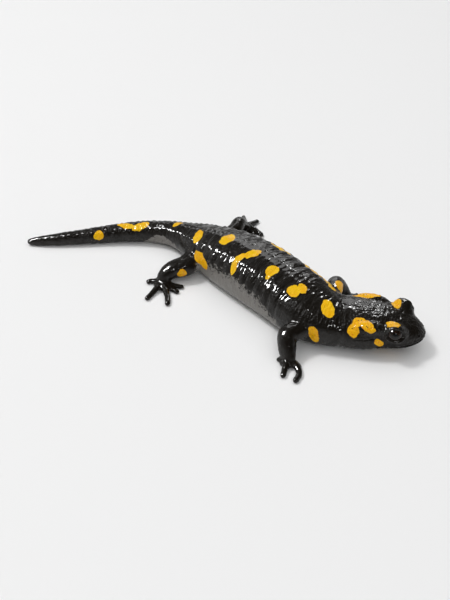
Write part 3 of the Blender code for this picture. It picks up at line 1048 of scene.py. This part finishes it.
# %% Group: cobbled relief
def build_cobbles():
    """A height of rounded cobbles with narrow valleys between them."""
    group, given, result = new_group("cobbles", ("Position",), ("Scale",), "Height")
    inputs = {"Vector": given["Position"], "Scale": given["Scale"], "Smoothness": 0.6}
    cells = add_node(group, "TexVoronoi", inputs, feature="SMOOTH_F1")
    group.links.new(map_range(group, cells.outputs["Distance"], 0.0, 0.75, 1.0, 0.0), result)
    return group


COBBLES = build_cobbles()
print("group", COBBLES.name)

# %% [markdown]
# ## The golden blotches
# No two fire salamanders have the same blotches. They could be painted on, but here each is an
# egg-shaped region, laid on the skin and made ragged by noise, so that it wraps round the body.

# %% Where the blotches are
# Distance, offset to the left, height, half length, half width, turn in degrees
BODY_BLOTCHES = (
    (148, -2.8, 5.2, 2.2, 2, 0),
    (136.5, -0.6, 7.8, 3.8, 1.4, -20),
    (130, -1.4, 8.3, 4.3, 1.7, 19),
    (114.2, 0.3, 10.9, 2.5, 1.2, 58),
    (100, -4.4, 13.9, 3.6, 1.95, 116),
    (86.3, -1.8, 18, 3.4, 2.5, 72),
    (74.3, -10.1, 15, 3, 1.35, -75),
    (74.5, -6.8, 17.4, 3, 1.5, 82),
    (71.9, -3, 18.9, 3.5, 1.9, 58),
    (59.6, -4.3, 18.4, 2.6, 2.5, 55),
    (59.2, -6.7, 17.3, 1.5, 0.9, 98),
    (47.2, -5.4, 17.4, 2.5, 2.6, 69),
    (45.8, -2.5, 17.8, 2, 2.2, 49),
    (35.2, -3.8, 15.6, 4, 2.4, 120),
    (42, 9.6, 14.6, 4.6, 1.9, -20),
    (52.5, 9.2, 15.6, 5, 1.8, 0),
    (68.6, 8.8, 16.6, 5.4, 2.1, -2),
    (88, 11, 9.5, 3, 2, 30),
    (101, 8.4, 8, 2.8, 1.6, 0),
    (122, 4, 6.4, 2.6, 1.4, 10),
    (141, 3.2, 4.4, 3, 1.4, -10),
    (158, 2.4, 3, 1.9, 1.2, 0),
    (64, 12.9, 8, 1.6, 1.2, 20),
    (82, 12.2, 7.4, 1.3, 1, 0),
    (52, -4, 0, 2, 1.3, 30),
    (70, 5, 0, 1.6, 1.2, -20),
    (88, -2, 0, 1.8, 1.1, 50),
    (24, 4, 2.6, 2.4, 1.5, 20),
    (15, -4.5, 3.9, 2.2, 1.3, -30),
)
HEAD_BLOTCHES = (
    (24.3, -6.9, 14, 2.5, 2.1, 20),
    (21.8, -8, 14, 4.2, 2.1, 138),
    (26.2, -9.5, 12, 2.7, 2.1, -85),
    (19.4, -9.6, 13.2, 1.7, 1.3, 0),
    (22, 8.6, 14, 5.8, 2.3, 180),
    (15.5, -10.3, 8.2, 1.9, 1.3, -24),
    (16, 10.4, 8, 2, 1.2, 10),
    (11, -7.2, 4, 3, 0.9, 0),
)
LIMB_BLOTCHES = (
    (36.7, -12.3, 8.7, 3.8, 1.7, 109),
    (32.8, 14.3, 11, 3.6, 3, 0),
    (91.8, -10.8, 9.8, 4.9, 2.2, 165),
    (95.8, -18.4, 5.4, 2, 1.9, 50),
    (98, 14, 5, 3, 1.6, 10),
)
BLOTCH_DEPTH = 2.2
print("blotches:", len(BODY_BLOTCHES) + len(HEAD_BLOTCHES) + len(LIMB_BLOTCHES))


# %% Lay a blotch on the skin
# Side, lean, tilt and half sizes of the blotches on the lids
LID_BLOTCHES = (
    (-1, 20, -27, (2.9, 2.3, 1.5)),
    (1, 50, -22, (2.3, 2.5, 1.5)),
)

# Distance and half sizes of the slate regions, which lie on the floor: the belly's own slate tone,
# and a painted sheen of the pale floor on the lower flanks and under the root of the tail
SLATE_AND_SHEEN_REGIONS = (
    (70.9, (41, 18, 17)),
    (117, (15, 8, 8)),
)
PORE_REGION = (9.5, 4.5, 4.5)
PORES_PER_METRE = 800.0


def region(tree, position, place, axes, half_sizes, edge):
    """The mask of one egg-shaped region: its place in the frame, its half sizes in millimetres."""
    return use_group(tree, BLOTCH, Vector=position, Location=place, Rotation=Vector(axes.to_euler()),
                     Scale=Vector(half_sizes) * MM, Edge=edge)


def skin_blotch(tree, position, d, out, height, half_length, half_wide, turn):
    """A blotch laid on the skin nearest to its address."""
    centre, forward, left = spine_at(d)
    wanted = in_frame(centre + left * out + UP * height)
    _, place, facing, _ = skin.closest_point_on_mesh(wanted)
    ahead = (forward - facing * forward.dot(facing)).normalized()
    turn = math.radians(turn)
    first = ahead * math.cos(turn) + facing.cross(ahead) * math.sin(turn)
    axes = Matrix((first, facing.cross(first), facing)).transposed()
    return region(tree, position, place, axes, (half_length, half_wide, BLOTCH_DEPTH), edge=0.09)


def lid_blotch(tree, position, side, lean, tilt, half_sizes):
    """A blotch on the dome of a lid: lean turns it back from the top, tilt turns it outward."""
    centre, axes = eye_frame(side)
    turn = axes @ turned(-lean, "Y") @ turned(-side * tilt, "X")
    top = centre + turn @ Vector((0, 0, LID_RADIUS))
    return region(tree, position, in_frame(top), turn, half_sizes, edge=0.12)


def region_in_body(tree, position, frame, half_sizes, edge):
    """A region on a centre and axes that are given from the hips."""
    centre, axes = frame
    return region(tree, position, in_frame(centre), axes, half_sizes, edge)


def slate_and_sheen_mask(tree, position):
    """Where the skin is painted slate grey, its own tone and a painted floor sheen: belly, lower
    flanks, tail root.
    """
    return union(tree, [region_in_body(tree, position, axes_at(d), half_sizes, edge=0.5)
                        for d, half_sizes in SLATE_AND_SHEEN_REGIONS])


def pore_mask(tree, position):
    """Dark pores over the two parotoid glands."""
    glands = union(tree, [region_in_body(tree, position, gland_frame(side), PORE_REGION, edge=0.3)
                          for side in (1, -1)])
    cells = add_node(tree, "TexVoronoi", {"Vector": position, "Scale": PORES_PER_METRE})
    dots = map_range(tree, cells.outputs["Distance"], 0.13, 0.22, 1.0, 0.0)
    return math_node(tree, "MULTIPLY", dots, glands)


print("regions:", len(LID_BLOTCHES), "on the lids,", len(SLATE_AND_SHEEN_REGIONS), "grey")

# %% [markdown]
# ## Wet black skin
# The skin of a fire salamander is black velvet under a film of slime. The black swallows light, and
# all that shows are the film's white glints on every cobble and fold, and a grey sheen where the skin
# turns away. A dark base under a clear coat gives both. The belly and lower flanks are painted slate
# grey: partly their own tone, partly a painted sheen of the pale floor. The blotches run from lemon to
# orange, with dark pores on the glands.

# %% The skin material
BLACK = (0.0065, 0.005, 0.0035, 1)
# The belly's own slate tone, made lighter to paint the pale floor's sheen on the lower flanks
SLATE_AND_SHEEN = (0.19, 0.18, 0.165, 1)
GOLD = (0.84, 0.44, 0.004, 1)
LEMON = (0.87, 0.53, 0.008, 1)
AMBER = (0.80, 0.29, 0.006, 1)
PORE = (0.03, 0.015, 0.005, 1)
SKIN_ROUGHNESS = 0.42
ROUGHNESS_SPREAD = 0.08
SKIN_FILM = 0.6
THIN_FILM = 0.36
BLOTCH_FILM = 0.5
WRINKLE_WEIGHT = 4.0
RELIEF = 0.15 * MM

# How many features of each noise fit in a metre
CLOUDS = 260.0
PATCHES = 350.0
RAGGED_EDGES = 420.0
MOTTLE = 900.0
COBBLE = 1300.0
SPECKLES = 1500.0


def new_material(name):
    """A new material, its tree and its Principled node."""
    material = bpy.data.materials.new(name)
    material.use_nodes = True
    tree = material.node_tree
    return material, tree, tree.nodes["Principled BSDF"]


def golden(tree, position, warm):
    """Lemon and gold on the body, orange on head and limbs, with dark pores on the glands."""
    cloud = noise_at(tree, position, CLOUDS)
    gold = mix_colour(tree, map_range(tree, cloud, 0.35, 0.65), LEMON, GOLD)
    speckle = map_range(tree, noise_at(tree, position, SPECKLES, 2.0), 0.5, 0.7)
    yellow = mix_colour(tree, warm, gold, mix_colour(tree, speckle, GOLD, AMBER))
    return mix_colour(tree, pore_mask(tree, position), yellow, PORE)


def surface_direction(tree, warped):
    """Cobbles and fine wrinkles, as the direction in which each spot of the skin faces."""
    cobbles = use_group(tree, COBBLES, Position=warped, Scale=COBBLE)
    address = add_node(tree, "Attribute", {}, attribute_name="address").outputs["Vector"]
    hatching = use_group(tree, HATCHING, Address=address, Length=0.6, Girth=3.5)
    height = math_node(tree, "ADD", cobbles, math_node(tree, "MULTIPLY", hatching, WRINKLE_WEIGHT))
    bump = add_node(tree, "Bump", {"Strength": 0.8, "Distance": RELIEF, "Height": height})
    return bump.outputs["Normal"]


def skin_material():
    """Glossy black with golden blotches."""
    material, tree, shader = new_material("wet_skin")
    position = add_node(tree, "TexCoord", {}).outputs["Object"]
    warped = use_group(tree, UNEVEN, Position=position, Scale=RAGGED_EDGES, Amount=0.0016)
    body = union(tree, [skin_blotch(tree, warped, *row) for row in BODY_BLOTCHES])
    warm = [skin_blotch(tree, warped, *row) for row in HEAD_BLOTCHES + LIMB_BLOTCHES]
    warm = union(tree, warm + [lid_blotch(tree, warped, *row) for row in LID_BLOTCHES])
    blotches = math_node(tree, "MAXIMUM", body, warm)

    mottle = noise_at(tree, position, MOTTLE, 4.0, 0.65)
    # Painted sheen of the pale floor, over the belly's own slate tone, with a ragged upper edge
    ragged = math_node(tree, "MULTIPLY", slate_and_sheen_mask(tree, warped), mottle)
    dark = mix_colour(tree, map_range(tree, ragged, 0.2, 0.3), BLACK, SLATE_AND_SHEEN)
    film = map_range(tree, noise_at(tree, position, PATCHES, 2.0), 0.3, 0.6, THIN_FILM, SKIN_FILM)
    dryness = map_range(tree, blotches, 0.0, 1.0, 1.0, BLOTCH_FILM)
    set_inputs(tree, shader, {
        "Base Color": mix_colour(tree, blotches, dark, golden(tree, position, warm)),
        "Roughness": map_range(tree, mottle, 0.3, 0.7, SKIN_ROUGHNESS - ROUGHNESS_SPREAD,
                               SKIN_ROUGHNESS + ROUGHNESS_SPREAD),
        "Specular IOR Level": 0.05,
        "Coat Weight": math_node(tree, "MULTIPLY", film, dryness),
        "Coat Roughness": 0.05,
        "Normal": surface_direction(tree, warped),
    })
    return material


skin.data.materials.append(skin_material())
print("skin material has", len(skin.data.materials[0].node_tree.nodes), "nodes")

# %% [markdown]
# ## The eye's material
# The eyeball's own Z axis looks out, so the angle from that axis tells pupil, iris and edge apart,
# and no picture of an eye has to be wrapped round the ball.

# %% The eye material
PUPIL = (0.002, 0.002, 0.002, 1)
IRIS = (0.008, 0.0045, 0.003, 1)
COPPER = (0.07, 0.03, 0.01, 1)
EDGE = (0.004, 0.003, 0.003, 1)
PUPIL_ANGLE = 17.0
IRIS_ANGLE = 48.0
EDGE_ANGLE = 58.0


def cosine(degrees):
    """The cosine of an angle in degrees."""
    return math.cos(math.radians(degrees))


def eye_material():
    """Dark iris with coppery specks round a black pupil, under a wet cornea."""
    material, tree, shader = new_material("wet_eye")
    position = add_node(tree, "TexCoord", {}).outputs["Object"]
    height = add_node(tree, "SeparateXYZ", {0: position}).outputs["Z"]
    depth = math_node(tree, "DIVIDE", height, EYE_RADIUS * MM)
    pupil = map_range(tree, depth, cosine(PUPIL_ANGLE + 2), cosine(PUPIL_ANGLE))
    edge = map_range(tree, depth, cosine(EDGE_ANGLE), cosine(IRIS_ANGLE), 1.0, 0.0)
    ragged = use_group(tree, UNEVEN, Position=position, Scale=900.0, Amount=0.0006)
    specks = map_range(tree, noise_at(tree, ragged, 2200.0), 0.55, 0.72)
    iris = mix_colour(tree, edge, mix_colour(tree, specks, IRIS, COPPER), EDGE)
    set_inputs(tree, shader, {
        "Base Color": mix_colour(tree, pupil, iris, PUPIL),
        "Roughness": 0.2,
        "Specular IOR Level": 0.1,
        "Coat Weight": 0.8,
        "Coat Roughness": 0.02,
        "Coat IOR": 1.38,
    })
    return material


wet_eye = eye_material()
for ball in (eyeball_left, eyeball_right):
    ball.data.materials.append(wet_eye)
print("eye material ready")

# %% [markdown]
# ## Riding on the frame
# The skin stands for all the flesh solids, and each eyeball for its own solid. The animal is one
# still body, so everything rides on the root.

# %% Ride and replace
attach(skin, "root")
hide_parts("head", "neck", "torso", "tail_base", "tail_tip",
            "foreleg_left", "foreleg_right", "hindleg_left", "hindleg_right")
for ball, node in ((eyeball_left, "eye_left"), (eyeball_right, "eye_right")):
    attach(ball, "root")
    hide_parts(node)

# %% [markdown]
# ## Floor, light and camera
# A glossy black animal shows its form by what it mirrors. A wide soft light fills the room and draws
# the soft shadow. Small bright lamps beside and behind it show only as glints on the folds, and a big
# dim panel behind lays a grey sheen along the back.

# %% Floor
FLOOR_HALF = 3.0


def make_floor():
    """A wide pale floor."""
    corners = [(FLOOR_HALF * x, FLOOR_HALF * y, 0) for x, y in ((-1, -1), (1, -1), (1, 1), (-1, 1))]
    floor = mesh_from("floor", corners, [(0, 1, 2, 3)])
    material, tree, shader = new_material("pale_floor")
    set_inputs(tree, shader, {
        "Base Color": (0.86, 0.86, 0.86, 1.0),
        "Roughness": 0.9,
        "Specular IOR Level": 0.1,
    })
    floor.data.materials.append(material)
    return floor


floor = make_floor()
print("floor laid")


# %% Lights
MIDDLE = Vector((0.0, 0.0, 0.01))

# Name, place, width, height and power
BOXES = (
    ("key_box", (-0.63, -0.29, 1.22), 0.25, 0.25, 7.0),
    ("front_box", (0.82, -0.57, 0.98), 0.15, 0.15, 1.5),
)
GLINTS = (
    ("glint_beside", (-0.77, -0.62, 0.99), 0.22, 0.48, 56.0),
    ("glint_behind", (-0.45, 0.97, 0.90), 0.12, 0.12, 2.5),
    ("sheen_panel", (-0.72, 0.92, 0.76), 0.8, 0.8, 6.0),
)


def new_lamp(name, kind, power):
    """A lamp in the scene."""
    lamp = new_object(name, bpy.data.lights.new(name, kind))
    lamp.data.energy = power
    return lamp


def soft_box(name, place, width, height, power):
    """A rectangular soft light that faces the animal."""
    lamp = new_lamp(name, "AREA", power)
    lamp.data.shape = "RECTANGLE"
    lamp.data.size = width
    lamp.data.size_y = height
    lamp.location = place
    lamp.rotation_euler = (Vector(place) - MIDDLE).to_track_quat("Z", "Y").to_euler()
    return lamp


for row in BOXES:
    soft_box(*row)
room_light = new_lamp("room_light", "SUN", 1.85)
room_light.data.angle = math.radians(100.0)
room_light.visible_glossy = False
for row in GLINTS:
    soft_box(*row).visible_diffuse = False
print("lamps:", len(BOXES) + 1 + len(GLINTS))

# %% The room
HORIZON_GLOW = 0.45
OVERHEAD_GLOW = 0.005


def studio_world():
    """A room that is pale round the horizon and dim overhead."""
    room = bpy.data.worlds.new("studio")
    room.use_nodes = True
    tree = room.node_tree
    direction = add_node(tree, "TexCoord", {}).outputs["Generated"]
    height = add_node(tree, "SeparateXYZ", {0: direction}).outputs["Z"]
    glow = map_range(tree, height, 0.15, 0.5, HORIZON_GLOW, OVERHEAD_GLOW)
    set_inputs(tree, tree.nodes["Background"], {"Color": (1.0, 1.0, 1.0, 1.0), "Strength": glow})
    return room


scene.world = studio_world()
scene.view_settings.view_transform = "Standard"
print("the horizon glows at", HORIZON_GLOW)

# %% Camera
ABOVE_FLOOR = math.radians(42.0)
ROUND_FROM_SIDE = math.radians(44.0)
CAMERA_DISTANCE = 342.0
AIM_FROM_HIPS = Vector((33.9, -18.5, 7.0))
LENS = 54.0
FILM = 36.0

back = Vector((
    math.sin(ROUND_FROM_SIDE) * math.cos(ABOVE_FLOOR),
    -math.cos(ROUND_FROM_SIDE) * math.cos(ABOVE_FLOOR),
    math.sin(ABOVE_FLOOR),
))
camera = new_object("camera", bpy.data.cameras.new("camera"))
camera.location = in_frame(AIM_FROM_HIPS + back * CAMERA_DISTANCE)
camera.rotation_euler = back.to_track_quat("Z", "Y").to_euler()
camera.data.lens = LENS
camera.data.sensor_fit = "VERTICAL"
camera.data.sensor_height = FILM
camera.data.clip_start = 0.01
scene.camera = camera
print("camera", [round(v, 3) for v in camera.location])

# %% The end
print("scene built")
